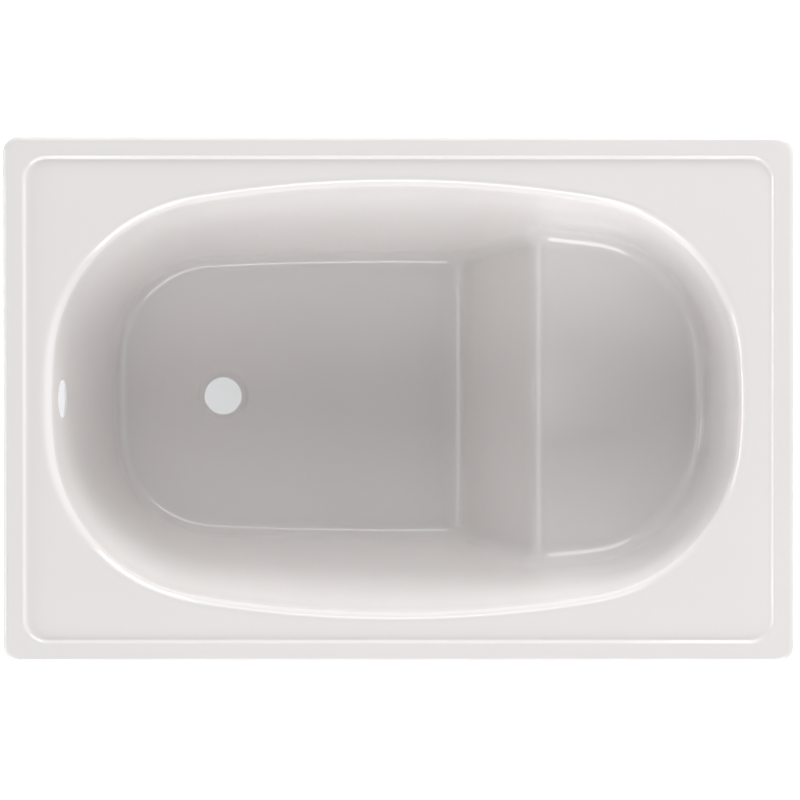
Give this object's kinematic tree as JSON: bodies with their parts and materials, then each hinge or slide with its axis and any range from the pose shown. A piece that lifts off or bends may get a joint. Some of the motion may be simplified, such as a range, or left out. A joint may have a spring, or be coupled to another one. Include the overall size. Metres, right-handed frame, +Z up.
{
  "type": "steel bathtub",
  "caption": "Rectangular enamelled steel step-seat bath with oval basin, riser and seat, open waste and overflow holes, standing on screw-adjustable feet.",
  "frame": {"origin": "on the ground, under the middle of the rim", "axes": "+X along the bath from the waste end to the seat end, +Y to the left side, +Z up"},
  "size_m": [1.05, 0.7, 0.56],
  "materials": {
    "enamel": "glossy white enamel",
    "zinc": "zinc-plated steel",
    "mat": "matt bitumen mat",
    "foot_plastic": "moulded black plastic"
  },
  "bodies": {
    "bath": {"bath_shell": "enamel", "drain_bracket": "zinc", "seat_bracket": "zinc", "drain_rail": "zinc", "seat_rail": "zinc", "seat_upright_left": "zinc", "seat_upright_right": "zinc", "seat_end_plates": "zinc", "drain_studs": "zinc", "seat_studs": "zinc", "drain_washers": "zinc", "seat_washers": "zinc", "drain_nuts": "zinc", "seat_nuts": "zinc", "drain_weld_nuts": "zinc", "seat_weld_nuts": "zinc", "drain_lock_nuts": "zinc", "seat_lock_nuts": "zinc", "earth_tab": "zinc", "earth_bolt": "zinc", "earth_washers": "zinc", "earth_nut": "zinc", "waste_pad": "mat", "floor_pad": "mat", "riser_pad": "mat", "seat_pad": "mat"},
    "foot_drain_left": {"foot_drain_left": "foot_plastic"},
    "screw_drain_left": {"screw_drain_left": "zinc"},
    "foot_drain_right": {"foot_drain_right": "foot_plastic"},
    "screw_drain_right": {"screw_drain_right": "zinc"},
    "foot_seat_left": {"foot_seat_left": "foot_plastic"},
    "screw_seat_left": {"screw_seat_left": "zinc"},
    "foot_seat_right": {"foot_seat_right": "foot_plastic"},
    "screw_seat_right": {"screw_seat_right": "zinc"}
  },
  "joints": [
    {"name": "height_drain_left", "type": "slide", "parent": "bath", "child": "foot_drain_left", "axis": [0, 0, 1], "range_m": [-0.03, 0.04]},
    {"name": "turn_drain_left", "type": "hinge", "parent": "foot_drain_left", "child": "screw_drain_left", "pos_m": [-0.14022, 0.235, 0.012], "axis": [0, 0, 1], "range_deg": [-7201, 9601]},
    {"name": "height_drain_right", "type": "slide", "parent": "bath", "child": "foot_drain_right", "axis": [0, 0, 1], "range_m": [-0.03, 0.04]},
    {"name": "turn_drain_right", "type": "hinge", "parent": "foot_drain_right", "child": "screw_drain_right", "pos_m": [-0.14022, -0.235, 0.012], "axis": [0, 0, 1], "range_deg": [-7201, 9601]},
    {"name": "height_seat_left", "type": "slide", "parent": "bath", "child": "foot_seat_left", "axis": [0, 0, 1], "range_m": [-0.03, 0.04]},
    {"name": "turn_seat_left", "type": "hinge", "parent": "foot_seat_left", "child": "screw_seat_left", "pos_m": [0.26202, 0.235, 0.012], "axis": [0, 0, 1], "range_deg": [-7201, 9601]},
    {"name": "height_seat_right", "type": "slide", "parent": "bath", "child": "foot_seat_right", "axis": [0, 0, 1], "range_m": [-0.03, 0.04]},
    {"name": "turn_seat_right", "type": "hinge", "parent": "foot_seat_right", "child": "screw_seat_right", "pos_m": [0.26202, -0.235, 0.012], "axis": [0, 0, 1], "range_deg": [-7201, 9601]}
  ],
  "couplings": [
    {"joint": "turn_drain_left", "follows": "height_drain_left", "rad_per_m": 4188.8},
    {"joint": "turn_drain_right", "follows": "height_drain_right", "rad_per_m": 4188.8},
    {"joint": "turn_seat_left", "follows": "height_seat_left", "rad_per_m": 4188.8},
    {"joint": "turn_seat_right", "follows": "height_seat_right", "rad_per_m": 4188.8}
  ]
}
